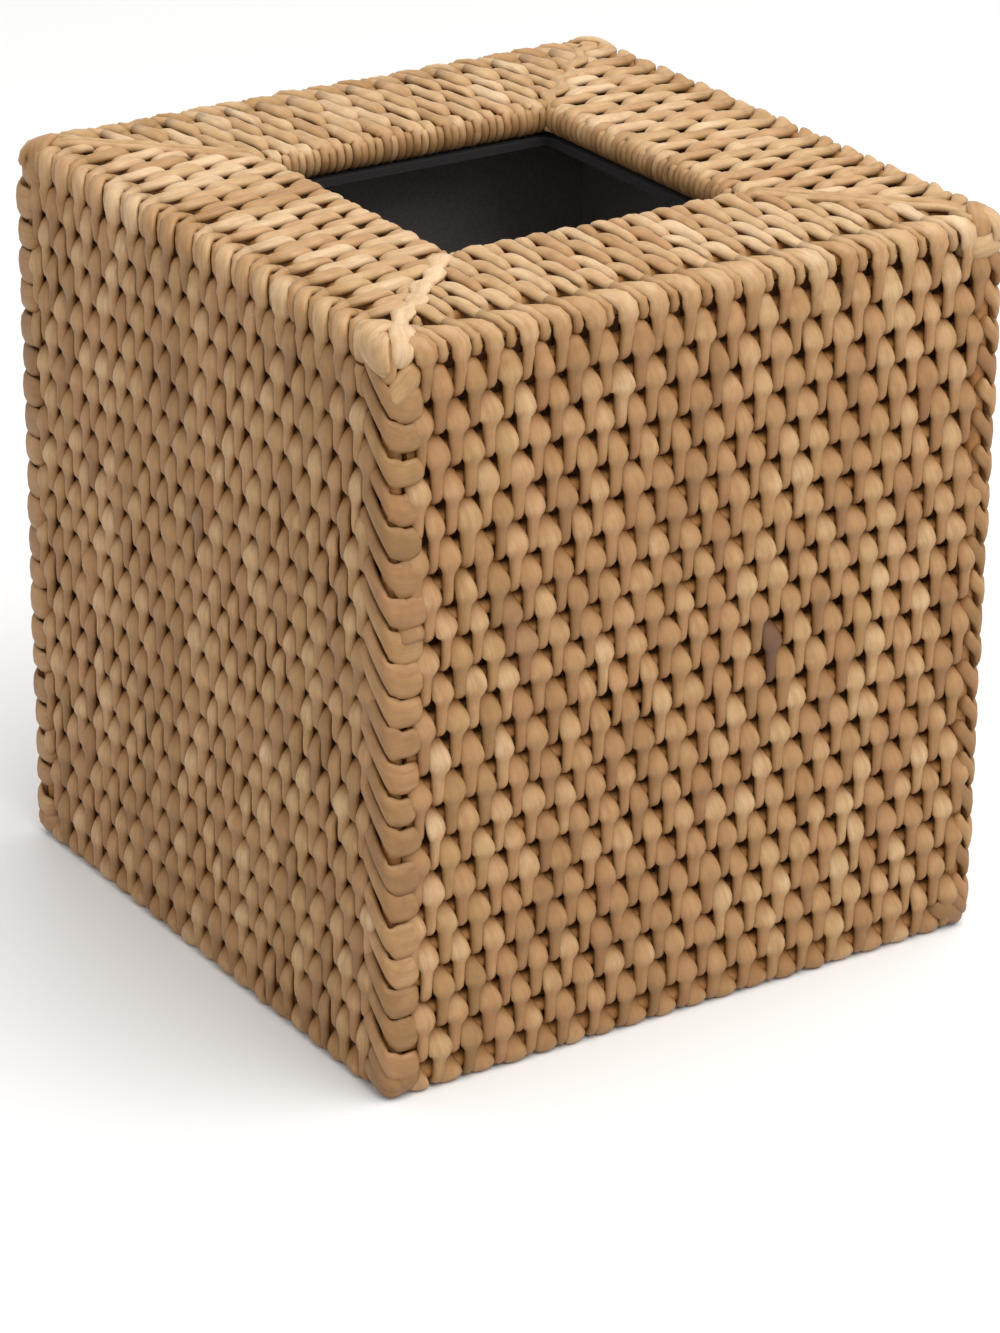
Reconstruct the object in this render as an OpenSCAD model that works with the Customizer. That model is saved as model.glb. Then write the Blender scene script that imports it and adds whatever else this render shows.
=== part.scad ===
// Square tissue box cover, woven in split rattan over a frame of rattan poles, with a dark board liner.
// The origin is at the middle of the rest face and +Z is up. The front faces -Y. Millimetres.

/* [Overall size] */
// Outside width, left to right
body_w = 139.7; // [110:0.1:180]
// Outside depth, front to back
body_d = 139.7; // [110:0.1:180]
// Height from the rest face to the top of the weave
body_h = 152.4; // [100:0.1:200]
// Width of the woven border round the opening
border = 38.4; // [28:0.1:42]

/* [Frame poles] */
// Diameter of the corner posts and of the bottom, top and rim rails
pole_d = 3.8; // [3.5:0.1:6]
// Diameter of the thin rods that the strands are woven over
rod_d = 2.8; // [2:0.1:3.4]
// Spacing of the rods up each side
side_rod_pitch = 6.6; // [5:0.05:9]
// Spacing of the rods across each border of the top
top_rod_pitch = 7.7; // [6:0.1:9]

/* [Strands] */
// Thickness that a strand takes up as it lies over the rods
strand_t = 1.8; // [1:0.1:2.4]
// Width of a strand
strand_w = 3.3; // [2:0.1:3.5]
// Spacing of the strands along an edge
strand_pitch = 3.57; // [3.55:0.01:6]
// Width of an opening between two side strands, where the real strands duck in
weave_gap_w = 2.6; // [1:0.1:3]
// Height of an opening between two side strands
weave_gap_h = 2; // [1:0.1:2.6]
// Number of openings across a side
weave_gaps_across = 12; // [4:1:12]

/* [Bindings] */
// Reach of a corner binding over the face on its left
binding_wide = 9.6; // [8:0.1:14]
// Reach of a corner binding over the face on its right
binding_narrow = 4.6; // [4.2:0.1:7]
// Height of one turn of a corner binding
turn_pitch = 6.6; // [2.5:0.1:8]
// Depth of the groove between two turns of binding
turn_groove = 0.5; // [0.2:0.1:0.8]
// Width of the twisted strand over each mitre of the top
mitre_w = 4.8; // [3:0.1:6]
// Depth of the flat that the bottom turns rest on
foot_flat = 0.4; // [0.2:0.05:0.8]

/* [Liner] */
// Thickness of the liner boards
liner_t = 1.6; // [1:0.1:3]
// How far the top liner board stands back from the edge of the opening
liner_back = 1; // [0.5:0.1:4]
// Height of the liner's lower edge above the rest face
liner_foot = 3; // [1:0.5:15]

/* [Frame pins] */
// Diameter of the pins that hold the rails to the posts
pin_d = 1; // [0.6:0.1:1.2]
// Length of a pin
pin_l = 12; // [6:0.5:20]
// Height of each pin above or below its rail's axis
pin_stagger = 0.8; // [0.7:0.05:0.9]

/* [Clearances] */
// Gap between a strand and the pole that it goes round
seat_gap = 0.1; // [0.05:0.05:0.2]
// Gap between the ends of pieces that butt together
end_gap = 0.2; // [0.1:0.05:0.4]
// Gap round a pin in its hole
pin_gap = 0.05; // [0.03:0.01:0.1]

/* [Hidden] */
$fn = 48;
SIDES = ["front", "right", "back", "left"];
CORNERS = ["front_right", "back_right", "back_left", "front_left"];

// A wall is one strand, a pole and a second strand thick.
wall_t = 2 * strand_t + pole_d + 2 * seat_gap;
pole_in = wall_t / 2;
seat_r = pole_d / 2 + seat_gap;
foot_z = wall_t / 2 - foot_flat;
top_z = body_h - wall_t / 2;
rim_in = border - wall_t / 2;
mitre_gap = end_gap / 2;
// Along an edge, a square cut keeps its distance from the mitre line by the root of two.
root_two = sqrt(2);
overrun = wall_t;

function side_len(k) = k % 2 == 0 ? body_w : body_d;
function side_out(k) = k % 2 == 0 ? body_d / 2 : body_w / 2;

// Rods stand evenly between the rails, as near the wanted spacing as whole rods allow.
side_gaps = round((top_z - foot_z) / side_rod_pitch);
side_step = (top_z - foot_z) / side_gaps;
side_rod_in = strand_t + seat_gap + rod_d / 2;
top_rod_z = body_h - strand_t - seat_gap - rod_d / 2;
top_rod_count = floor((rim_in - pole_in - rod_d) / top_rod_pitch);

// The strands fill the edge between the narrow reach of one binding and the wide reach of the next.
function strand_room(k) = side_len(k) - binding_narrow - binding_wide - 2 * end_gap;
function strand_count(k) = floor((strand_room(k) - strand_w) / strand_pitch) + 1;
function strand_slack(k) = (strand_room(k) - strand_w - (strand_count(k) - 1) * strand_pitch) / 2;
function strand_x(k, i) = binding_narrow + end_gap + strand_slack(k) + i * strand_pitch - side_len(k) / 2;

// The top runs start where the knot over the narrow reach ends, clear of the mitre.
mitre_side = (mitre_w / 2 + mitre_gap) * root_two;
knot_in = pole_in + mitre_side;
function first_top_x(k) = knot_in + end_gap - side_len(k) / 2;
function top_starts(k) = [for (i = [0 : strand_count(k) - 1]) if (strand_x(k, i) >= first_top_x(k)) i];
function knot_reach(k) = strand_x(k, top_starts(k)[0]) + side_len(k) / 2 - end_gap;

turn_count = round((top_z - foot_z) / turn_pitch);
turn_h = (top_z - foot_z) / turn_count;
turn_face_share = 0.5;

liner_in = wall_t + seat_gap;
liner_top_z = body_h - wall_t - seat_gap;
pin_start = pole_in - pole_d * 0.42;

// Colours
peel = "burlywood";
pole = "tan";
board = [0.1, 0.09, 0.09];
steel = "silver";

// Puts a side's pieces in place: x runs along the side, y inward from its outer plane.
module on_side(k) {
    rotate([0, 0, 90 * k]) translate([0, -side_out(k), 0]) children();
}

// Puts a corner's pieces in place: the corner at the right end of side k, with side k along -x.
module on_corner(k) {
    on_side(k) translate([side_len(k) / 2, 0, 0]) children();
}

// A plan outline between the two mitre lines of side k, drawn back from them by back.
module mitre_plan(k, back) {
    half = side_len(k) / 2 - back * root_two;
    deep = border;
    polygon([
        [-half - overrun, -overrun],
        [half + overrun, -overrun],
        [half - deep, deep],
        [-half + deep, deep],
    ]);
}

// Keeps what lies between the mitre lines of side k.
module between_mitres(k, back) {
    intersection() {
        children();
        translate([0, 0, -overrun]) linear_extrude(body_h + 2 * overrun) mitre_plan(k, back);
    }
}

// A round bar along x, from one x to another.
module bar_x(from_x, to_x, r) {
    translate([from_x, 0, 0]) rotate([0, 90, 0]) cylinder(h = to_x - from_x, r = r);
}

// A section drawn in y and z, carried along x.
module along_x(w) {
    rotate([90, 0, 90]) linear_extrude(w) children();
}

// The ring of a strand round a pole, cut to one box of the section.
module turn_section(centre, low, high) {
    intersection() {
        translate(centre) difference() {
            circle(r = wall_t / 2);
            circle(r = seat_r);
        }
        translate(low) square(high - low);
    }
}

// The holes for the two pins at one end of a side's rail level.
module pin_pair(z, r, from_x, length) {
    translate([-pole_in, pole_in, z]) {
        translate([0, 0, -pin_stagger]) rotate([0, -90, 0]) translate([0, 0, -from_x]) cylinder(h = length, r = r);
        translate([0, 0, pin_stagger]) rotate([-90, 0, 0]) translate([0, 0, -from_x]) cylinder(h = length, r = r);
    }
}

// Both pin levels of a corner.
module corner_pins(r, from_x, length) {
    pin_pair(foot_z, r, from_x, length);
    pin_pair(top_z, r, from_x, length);
}

module pin_holes() {
    corner_pins(pin_d / 2 + pin_gap, pole_in - pin_start, pin_l + pin_gap);
}

// Corner post, with rounded ends.
module post(k) {
    color(pole) on_corner(k) difference() {
        translate([-pole_in, pole_in, 0]) {
            translate([0, 0, foot_z]) cylinder(h = top_z - foot_z, r = pole_d / 2);
            translate([0, 0, foot_z]) sphere(r = pole_d / 2);
            translate([0, 0, top_z]) sphere(r = pole_d / 2);
        }
        pin_holes();
    }
}

// The room that the two posts of a side take, with the gap of a coped end.
module post_room(k) {
    for (end = [-1, 1]) {
        translate([end * (side_len(k) / 2 - pole_in), pole_in, 0]) {
            cylinder(h = body_h, r = pole_d / 2 + mitre_gap);
        }
    }
}

// Outer rail of side k at height z, coped to the posts and pinned.
module outer_rail(k, z) {
    half = side_len(k) / 2 - pole_in;
    color(pole) difference() {
        on_side(k) difference() {
            between_mitres(k, mitre_gap) translate([0, pole_in, z]) bar_x(-half, half, pole_d / 2);
            post_room(k);
        }
        for (c = [k, (k + 3) % 4]) on_corner(c) pin_holes();
    }
}

module bottom_rail(k) {
    outer_rail(k, foot_z);
}

module top_rail(k) {
    outer_rail(k, top_z);
}

// Rim rail of side k, mitred to its neighbours.
module rim_rail(k) {
    half = side_len(k) / 2 - rim_in + pole_d;
    color(pole) on_side(k) between_mitres(k, mitre_gap) {
        translate([0, rim_in, top_z]) bar_x(-half, half, pole_d / 2);
    }
}

// Rod under a mitre, from the top rails to the rim rails.
module mitre_rod(k) {
    lean = rod_d / 2 / root_two;
    start = pole_in + pole_d / 2 + lean + end_gap;
    stop = rim_in - pole_d / 2 - lean - end_gap;
    color(pole) on_corner(k) translate([-start, start, top_rod_z]) rotate([0, 0, 135]) {
        bar_x(0, (stop - start) * root_two, rod_d / 2);
    }
}

// The ladder of rods in side k.
module side_rods(k) {
    half = side_len(k) / 2 - pole_in - pole_d / 2 - end_gap;
    color(pole) on_side(k) {
        for (i = [1 : side_gaps - 1]) {
            translate([0, side_rod_in, foot_z + i * side_step]) bar_x(-half, half, rod_d / 2);
        }
    }
}

// The rods in the border along side k, ended clear of the mitre rods.
module top_rods(k) {
    color(pole) on_side(k) {
        for (i = [1 : top_rod_count]) {
            deep = pole_in + i * top_rod_pitch;
            half = side_len(k) / 2 - deep - rod_d / 2 - (rod_d / 2 + end_gap) * root_two;
            translate([0, deep, top_rod_z]) bar_x(-half, half, rod_d / 2);
        }
    }
}

// Section of a side strand: up the outside, round the bottom rail and up the inside.
module side_run_section() {
    translate([0, foot_z]) square([strand_t, top_z - foot_z]);
    translate([wall_t - strand_t, foot_z]) square([strand_t, body_h - wall_t - foot_z]);
    turn_section([pole_in, foot_z], [0, 0], [wall_t, foot_z]);
}

// The openings in the outside of side k's strands, staggered, level with the gaps between its rods.
module weave_gaps(k) {
    last = strand_count(k) - 2;
    for (c = [0 : weave_gaps_across - 1], j = [c % 2 : 2 : side_gaps - 1]) {
        middle_x = strand_x(k, round(c * last / (weave_gaps_across - 1))) + (strand_pitch + strand_w) / 2;
        middle_z = foot_z + (2 * j + 1) * side_step / 2;
        translate([middle_x - weave_gap_w / 2, -seat_gap, middle_z - weave_gap_h / 2]) {
            cube([weave_gap_w, strand_t + 2 * seat_gap, weave_gap_h]);
        }
    }
}

// The strands of side k, each one flat band with openings in its edges.
module side_strands(k) {
    color(peel) on_side(k) difference() {
        for (i = [0 : strand_count(k) - 1]) {
            translate([strand_x(k, i), 0, 0]) along_x(strand_w) side_run_section();
        }
        weave_gaps(k);
    }
}

// Section of a top strand: over the top rail, across the border, round the rim rail and back underneath.
module top_run_section() {
    turn_section([pole_in, top_z], [0, top_z], [pole_in, body_h]);
    translate([pole_in, body_h - strand_t]) square([rim_in - pole_in, strand_t]);
    turn_section([rim_in, top_z], [rim_in, body_h - wall_t], [border, body_h]);
    translate([wall_t - strand_t, body_h - wall_t]) square([rim_in - wall_t + strand_t, strand_t]);
}

// The strands of the border along side k, ended at the mitres.
module top_strands(k) {
    color(peel) on_side(k) between_mitres(k, mitre_w / 2 + mitre_gap) {
        for (i = top_starts(k)) {
            translate([strand_x(k, i), 0, 0]) along_x(strand_w) top_run_section();
        }
    }
}

// Half of a binding's section, in distance from the seat and height: one flat-crested tooth for each turn.
module binding_section(seat) {
    root = strand_t - turn_groove - seat_gap;
    crest = strand_t - seat_gap;
    land = turn_h * (1 - turn_face_share) / 2;
    polygon(concat(
        [[seat, foot_z]],
        [for (i = [0 : turn_count - 1]) each [
            [seat + root, foot_z + i * turn_h],
            [seat + crest, foot_z + i * turn_h + land],
            [seat + crest, foot_z + (i + 1) * turn_h - land],
        ]],
        [[seat + root, top_z], [seat, top_z]]
    ));
}

// Binding of a corner: round the post, then flat over the wide and the narrow reach.
module corner_binding(k) {
    color(peel) on_corner(k) {
        translate([-pole_in, pole_in, 0]) rotate([0, 0, -90]) {
            rotate_extrude(angle = 90) binding_section(seat_r + seat_gap);
        }
        translate([-binding_wide, strand_t - seat_gap, 0]) mirror([0, 1, 0]) {
            along_x(binding_wide - pole_in) binding_section(0);
        }
        translate([-strand_t + seat_gap, binding_narrow, 0]) rotate([90, 0, 0]) {
            linear_extrude(binding_narrow - pole_in) binding_section(0);
        }
    }
}

// A shell round the poles that meet in a corner, above z = 0, with the given reach along each side.
module knot_shell(left_reach, right_reach) {
    plate = knot_in - pole_in;
    difference() {
        union() {
            intersection() {
                sphere(r = wall_t / 2);
                translate([0, -wall_t, 0]) cube(wall_t);
            }
            intersection() {
                rotate([0, -90, 0]) cylinder(h = left_reach - pole_in, r = wall_t / 2);
                translate([-left_reach, -wall_t, 0]) cube([left_reach, wall_t, wall_t]);
            }
            intersection() {
                rotate([-90, 0, 0]) cylinder(h = right_reach - pole_in, r = wall_t / 2);
                cube([wall_t, right_reach, wall_t]);
            }
            translate([pole_in - left_reach, 0, 0]) cube([left_reach - pole_in, plate, wall_t / 2]);
            translate([-plate, 0, 0]) cube([plate, right_reach - pole_in, wall_t / 2]);
        }
        sphere(r = seat_r);
        rotate([0, -90, 0]) cylinder(h = left_reach + wall_t, r = seat_r);
        rotate([-90, 0, 0]) cylinder(h = right_reach + wall_t, r = seat_r);
        translate([-left_reach, 0, 0]) cube([left_reach, right_reach, seat_r]);
    }
}

// Knot over an upper corner.
module top_knot(k) {
    right = (k + 1) % 4;
    color(peel) on_corner(k) translate([-pole_in, pole_in, top_z]) {
        knot_shell(binding_wide, knot_reach(right));
    }
}

// Knot under a lower corner, cut flat where it stands.
module bottom_knot(k) {
    color(peel) on_corner(k) intersection() {
        translate([-pole_in, pole_in, foot_z]) mirror([0, 0, 1]) knot_shell(binding_wide, binding_narrow);
        translate([-body_w, -body_d, 0]) cube([2 * body_w, 2 * body_d, foot_z]);
    }
}

// The plan of a mitre binding's half that lies on side k, at the side's right end.
module mitre_half_plan(k) {
    near = side_len(k) / 2 - knot_in - end_gap;
    side_w = mitre_w / 2 * root_two;
    polygon([
        [near, knot_in + end_gap],
        [near - side_w, knot_in + end_gap],
        [side_len(k) / 2 - border - side_w, border],
        [side_len(k) / 2 - border, border],
    ]);
}

// Half of a mitre binding: the section of a top run, cut to its half of the band.
module mitre_half(k) {
    far = side_len(k) / 2 - border - wall_t;
    intersection() {
        translate([far, 0, 0]) along_x(border) top_run_section();
        linear_extrude(body_h + overrun) mitre_half_plan(k);
    }
}

// Twisted strand over a mitre, from the knot to the rim and round it.
module mitre_binding(k) {
    right = (k + 1) % 4;
    color(peel) {
        on_side(k) mitre_half(k);
        on_side(right) mirror([1, 0, 0]) mitre_half(right);
    }
}

// Liner board of side k. The front and back boards run the full width between the walls.
module liner_side(k) {
    shorten = k % 2 == 0 ? 0 : liner_t + seat_gap;
    half = side_len(k) / 2 - liner_in - shorten;
    color(board) on_side(k) translate([-half, liner_in, liner_foot]) {
        cube([2 * half, liner_t, liner_top_z - liner_t - liner_foot]);
    }
}

// Liner board under the top, with the square opening.
module liner_top() {
    room = [body_w - 2 * liner_in, body_d - 2 * liner_in];
    hole = [body_w - 2 * border + 2 * liner_back, body_d - 2 * border + 2 * liner_back];
    color(board) translate([0, 0, liner_top_z - liner_t]) linear_extrude(liner_t) difference() {
        square(room, center = true);
        square(hole, center = true);
    }
}

// All the pins of the frame.
module frame_pins() {
    color(steel) for (k = [0 : 3]) on_corner(k) corner_pins(pin_d / 2, pole_in - pin_start, pin_l);
}

for (k = [0 : 3]) {
    post(k);
    bottom_rail(k);
    top_rail(k);
    rim_rail(k);
    mitre_rod(k);
    side_rods(k);
    top_rods(k);
    side_strands(k);
    top_strands(k);
    corner_binding(k);
    top_knot(k);
    bottom_knot(k);
    mitre_binding(k);
    liner_side(k);
}
liner_top();
frame_pins();
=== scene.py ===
# %% [markdown]
# # A woven rattan tissue box cover
#
# The cover is a frame of rattan poles, sewn over with split-rattan strands. Each side is a ladder of
# level rods, and the strands run up it side by side. The frame file holds the plain solids of every
# piece. This lesson puts the real weave over them: strands that swell where they cross a rod, narrow to
# a rope over the next, and then duck out of sight before they swell again.

import bpy
import numpy as np
from mathutils import Matrix, Vector


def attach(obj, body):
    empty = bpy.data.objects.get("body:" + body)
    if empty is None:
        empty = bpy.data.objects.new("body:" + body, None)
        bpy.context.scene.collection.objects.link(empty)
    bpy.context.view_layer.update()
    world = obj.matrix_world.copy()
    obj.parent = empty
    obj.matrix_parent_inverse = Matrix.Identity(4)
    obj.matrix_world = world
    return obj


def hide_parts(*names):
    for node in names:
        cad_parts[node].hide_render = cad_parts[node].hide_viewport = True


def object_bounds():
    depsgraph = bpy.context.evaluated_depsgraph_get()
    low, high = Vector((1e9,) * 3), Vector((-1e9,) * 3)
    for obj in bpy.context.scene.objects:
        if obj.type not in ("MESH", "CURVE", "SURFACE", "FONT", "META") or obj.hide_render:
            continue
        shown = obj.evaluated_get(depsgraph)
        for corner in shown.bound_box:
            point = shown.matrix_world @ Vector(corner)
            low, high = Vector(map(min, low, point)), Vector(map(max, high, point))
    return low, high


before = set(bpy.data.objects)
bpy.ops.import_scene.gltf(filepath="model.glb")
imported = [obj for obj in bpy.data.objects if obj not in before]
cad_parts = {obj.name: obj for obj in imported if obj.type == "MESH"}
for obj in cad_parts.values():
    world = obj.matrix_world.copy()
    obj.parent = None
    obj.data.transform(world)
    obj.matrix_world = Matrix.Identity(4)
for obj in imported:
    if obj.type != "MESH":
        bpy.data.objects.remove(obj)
cad_low, cad_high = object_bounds()
MM = 0.001
WIDE = (cad_high.x - cad_low.x) / MM
DEEP = (cad_high.y - cad_low.y) / MM
TALL = (cad_high.z - cad_low.z) / MM
SIDES = ["front", "right", "back", "left"]
CORNERS = ["front_right", "back_right", "back_left", "front_left"]
print(f"{len(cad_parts)} solids in the frame, {WIDE:.1f} x {DEEP:.1f} x {TALL:.1f} mm")

# %% [markdown]
# ## Camera
#
# The photograph looks down at the corner between the front and the left side. A camera was fitted to
# the outline of the body in the photograph, which gave its direction, its distance and its focal
# length. `right`, `up` and `ahead` are the three directions of the camera, turned by a small roll.

# %% The camera of the photograph
turn, tilt, roll = np.radians(33.39), np.radians(24.15), np.radians(0.55)
distance, aim_right, aim_up = 930.0, 0.54, -26.32
image_high, sensor, focal_pixels = 1333, 36.0, 4658.9
ahead = np.array([np.sin(turn) * np.cos(tilt), np.cos(turn) * np.cos(tilt), -np.sin(tilt)])
level = np.cross(ahead, [0, 0, 1])
level /= np.linalg.norm(level)
upright = np.cross(level, ahead)
right = np.cos(roll) * level + np.sin(roll) * upright
up = np.cos(roll) * upright - np.sin(roll) * level
eye = np.array([0, 0, TALL / 2]) - ahead * distance + right * aim_right + up * aim_up

bpy.context.scene.view_settings.view_transform = "Standard"
camera_data = bpy.data.cameras.new("photo_camera")
camera_data.sensor_fit = "AUTO"
camera_data.sensor_width = sensor
camera_data.lens = focal_pixels * sensor / image_high
camera_data.clip_start, camera_data.clip_end = 0.05, 20.0
camera = bpy.data.objects.new("photo_camera", camera_data)
bpy.context.scene.collection.objects.link(camera)
facing = Matrix((right, up, -ahead)).transposed().to_4x4()
camera.matrix_world = Matrix.Translation(Vector(eye * MM)) @ facing
bpy.context.scene.camera = camera
print(f"camera {distance:.0f} mm away, lens {camera_data.lens:.1f} mm")

# %% [markdown]
# ## From numbers to a mesh
#
# Every new piece here is a set of strands. A strand is a tube: a closed outline is carried along a
# path, and each step of the path leaves one ring of points. A bevelled curve would be quicker to set
# up, but its outline can only grow or shrink as a whole. Here each ring has its own width and
# thickness, so a strand can spread over a rod without growing thicker. Points, faces and the values
# that the materials read are worked out as whole arrays.

# %% The outline of a strand, and a strand along a path
RING = 10
around = np.linspace(0, 2 * np.pi, RING, endpoint=False) + np.pi / RING
OUTLINE_ACROSS = np.sign(np.cos(around)) * np.abs(np.cos(around)) ** 0.9
OUTLINE_OUT = np.sin(around)
TONES = ("tone", "stitch_tone", "deep", "stain", "faded_and_lit")


def unit(rows):
    """Rows of vectors, each made 1 long."""
    return rows / (np.linalg.norm(rows, axis=-1, keepdims=True) + 1e-9)


def ease(value, low, high):
    """0 below low, 1 above high and a smooth climb between them."""
    share = np.clip((value - low) / (high - low), 0, 1)
    return share * share * (3 - 2 * share)


def strand(path, across, out, wide, thick):
    """Points of a tube, one ring a row.

    path, across and out are one 3-D row a ring: the middle of the ring, the direction of its width and
    the direction of its thickness. A ring's point is middle + across * cos' * wide / 2 + out * sin *
    thick / 2, where cos' is the cosine raised to 0.9, so that the oval is a little full at its edges.
    """
    sideways = across[:, None] * OUTLINE_ACROSS[:, None] * (wide / 2)[:, None, None]
    outward = out[:, None] * OUTLINE_OUT[:, None] * (thick / 2)[:, None, None]
    return path[:, None] + sideways + outward


def values_of(wide, thick, run, deep, dice, faded_and_lit=0.0, stitch=None, stain=0.0):
    """What the material reads at each ring of a strand.

    grain is where each point lies across, out and along its strand, in mm. tone is one number a strand
    and stitch_tone one a stitch.
    """
    rings = len(wide)
    across = OUTLINE_ACROSS * (wide / 2)[:, None]
    outward = OUTLINE_OUT * (thick / 2)[:, None]
    along = np.tile((run + 300 * dice.random())[:, None], (1, RING))
    stitch = np.zeros(rings, int) if stitch is None else stitch
    return {
        "grain": np.stack([across, outward, along], axis=-1),
        "tone": np.full(rings, dice.random()),
        "stitch_tone": dice.random(stitch.max() + 1)[stitch],
        "deep": deep,
        "stain": np.broadcast_to(stain, rings),
        "faded_and_lit": np.broadcast_to(faded_and_lit, rings),
    }


def tube_faces(rings, start):
    """Faces of a tube of so many rings, numbered from the point start: its quads and its two end caps."""
    row = np.arange(rings - 1)[:, None] * RING + start
    here = np.arange(RING)
    following = (here + 1) % RING
    quads = np.stack([row + here, row + following, row + RING + following, row + RING + here], axis=-1)
    first = start + here[::-1]
    last = start + (rings - 1) * RING + here
    return quads.reshape(-1, 4), first, last


print(f"outline of {RING} points, {OUTLINE_ACROSS.max():.2f} by {OUTLINE_OUT.max():.2f}")

# %% [markdown]
# All the strands of one piece go into one mesh. Each point carries what the material reads there, as
# attributes. The piece is then tied to the body that it rides on and to its material slot, and the plain
# solid that it stands in for is hidden.


# %% One mesh out of many strands
def strands_to_piece(name, pairs, node_name, material):
    """A mesh object out of pairs of a tube's rings and its values, in metres. The end caps are flat."""
    points, quads, caps, start = [], [], [], 0
    for rings, values in pairs:
        sides, first, last = tube_faces(len(rings), start)
        points.append(rings.reshape(-1, 3))
        quads.append(sides)
        caps += [first, last]
        start += len(rings) * RING
    points = np.concatenate(points) * MM
    quads = np.concatenate(quads)
    corners = np.concatenate([quads.ravel(), np.concatenate(caps)]).astype(np.int32)
    sizes = np.concatenate([np.full(len(quads), 4), np.full(len(caps), RING)]).astype(np.int32)
    mesh = bpy.data.meshes.new(name)
    mesh.vertices.add(len(points))
    mesh.vertices.foreach_set("co", points.ravel().astype(np.float32))
    mesh.loops.add(len(corners))
    mesh.loops.foreach_set("vertex_index", corners)
    mesh.polygons.add(len(sizes))
    mesh.polygons.foreach_set("loop_start", np.concatenate([[0], np.cumsum(sizes)[:-1]]).astype(np.int32))
    mesh.polygons.foreach_set("loop_total", sizes)
    mesh.update(calc_edges=True)
    mesh.polygons.foreach_set("use_smooth", sizes == 4)
    for key in TONES:
        rows = np.concatenate([np.repeat(values[key], RING) for rings, values in pairs])
        mesh.attributes.new(key, "FLOAT", "POINT").data.foreach_set("value", rows.astype(np.float32))
    grain = np.concatenate([values["grain"].reshape(-1) for rings, values in pairs]).astype(np.float32)
    mesh.attributes.new("grain", "FLOAT_VECTOR", "POINT").data.foreach_set("vector", grain)
    mesh.materials.append(material)
    piece = bpy.data.objects.new(name, mesh)
    bpy.context.scene.collection.objects.link(piece)
    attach(piece, "root")
    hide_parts(node_name)
    print(f"{name}: {len(pairs)} strands, {len(mesh.polygons)} faces")


# %% [markdown]
# ## The way a strand takes
#
# Cut through one side and the strands show their way: from under the rim round the opening's edge, across
# the border, over the top edge, down the side, and under the bottom edge. In this section `inward` is the
# distance from the side's outer plane and `height` is the distance from the table. The way is made of
# straight lines and arcs round the rails. One modelled stitch, copied over the side, would be simpler,
# but it couldn't follow the strand round the edges. The row number counts the rods that a strand passes:
# the top edge is row 0, the side rods are 1 to 21, the bottom edge is 22, and the border's rods count
# back from the top edge to the rim.

# %% The section of the cover
def span(name, axis):
    """Lowest and highest place of one of the frame's solids along an axis, in mm."""
    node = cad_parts[name]
    corners = np.array([node.matrix_world @ Vector(corner) for corner in node.bound_box])
    return corners[:, axis].min() / MM, corners[:, axis].max() / MM


WALL = np.ptp(span("side_strands_front", 1))
BORDER = span("top_strands_front", 1)[1] + DEEP / 2
FOOT = np.mean(span("bottom_rail_front", 2))
RAIL = WALL / 2
EDGE = TALL - RAIL
RIM = BORDER - RAIL
SIDE_ROWS = 22


def arc(centre, begin, end):
    """Points and outward directions of an arc of radius RAIL, angles in degrees."""
    angle = np.radians(np.linspace(begin, end, 200))
    out = np.stack([np.cos(angle), np.sin(angle)], axis=-1)
    return np.array(centre) + RAIL * out, out


def line(begin, end, out):
    """Points and outward directions of a straight stretch."""
    share = np.linspace(0, 1, 3000)[:, None]
    points = np.array(begin) * (1 - share) + np.array(end) * share
    return points, np.tile(np.array(out, float), (3000, 1))


stretches = [
    line((RIM - 7, TALL - WALL), (RIM, TALL - WALL), (0, -1)),
    arc((RIM, EDGE), -90, 90),
    line((RIM, TALL), (RAIL, TALL), (0, 1)),
    arc((RAIL, EDGE), 90, 180),
    line((0, EDGE), (0, FOOT), (-1, 0)),
    arc((RAIL, FOOT), 180, 360),
    line((WALL, FOOT), (WALL, FOOT + 7), (1, 0)),
]
way = np.concatenate([points for points, out in stretches])
way_out = np.concatenate([out for points, out in stretches])
way_length = np.concatenate([[0], np.cumsum(np.linalg.norm(np.diff(way, axis=0), axis=1))])
print(f"wall {WALL:.1f}, border {BORDER:.1f}, foot {FOOT:.1f}; the way is {way_length[-1]:.0f} mm long")

# %% [markdown]
# The rods aren't quite evenly spaced on the real cover. A few marks along the way say where each row and
# each gap between rows lies, and everything between two marks is read off in proportion. The heights of
# the gaps on the front and the left were measured on the photograph.


# %% Where the rows lie along the way
# Half the distance between two rows of the border.
HALF_ROW = 3.56


def length_at(target):
    """Length along the way of the point nearest to the target."""
    return way_length[np.argmin(np.linalg.norm(way - np.array(target), axis=1))]


def arc_point(centre, degrees):
    """A point on an arc of radius RAIL."""
    angle = np.radians(degrees)
    return (centre[0] + RAIL * np.cos(angle), centre[1] + RAIL * np.sin(angle))


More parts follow.
